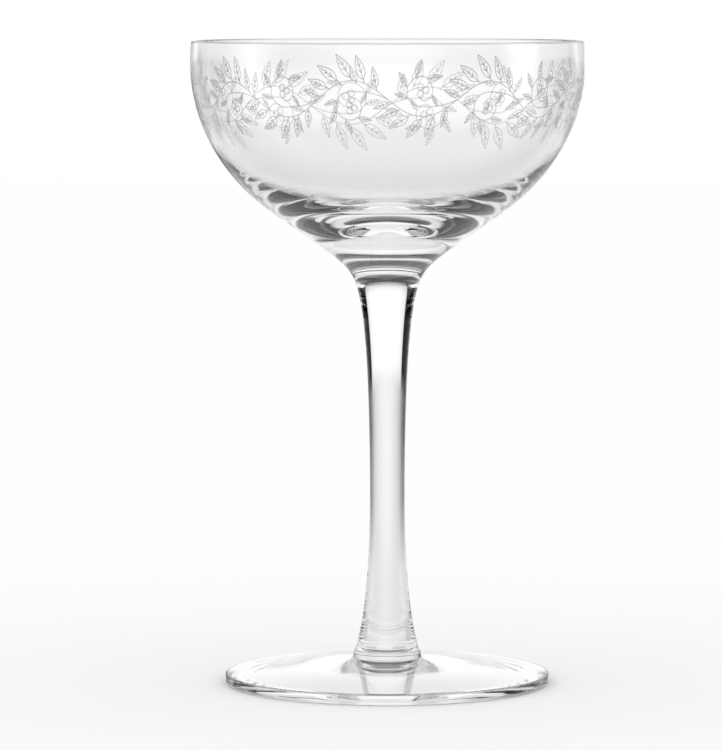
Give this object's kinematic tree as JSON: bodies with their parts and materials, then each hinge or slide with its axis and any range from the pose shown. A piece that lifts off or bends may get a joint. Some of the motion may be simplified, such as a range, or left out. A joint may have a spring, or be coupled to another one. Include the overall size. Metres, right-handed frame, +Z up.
{
  "type": "stemmed cocktail glass",
  "caption": "Clear stemmed cocktail glass: a rounded bowl with a fine rim flows into a slim waisted stem on a round foot. Holds a short drink served without ice.",
  "frame": {"origin": "middle of the table plane under the foot", "axes": "+Z up along the axis that bowl, stem and foot are turned about; X and Y are any two directions across it"},
  "size_m": [0.0946, 0.0946, 0.155],
  "materials": {
    "clear_glass": "clear, fire polished, with a fine etched band round the bowl"
  },
  "bodies": {
    "root": {"bowl": "clear_glass", "stem": "clear_glass", "foot": "clear_glass"}
  },
  "joints": []
}
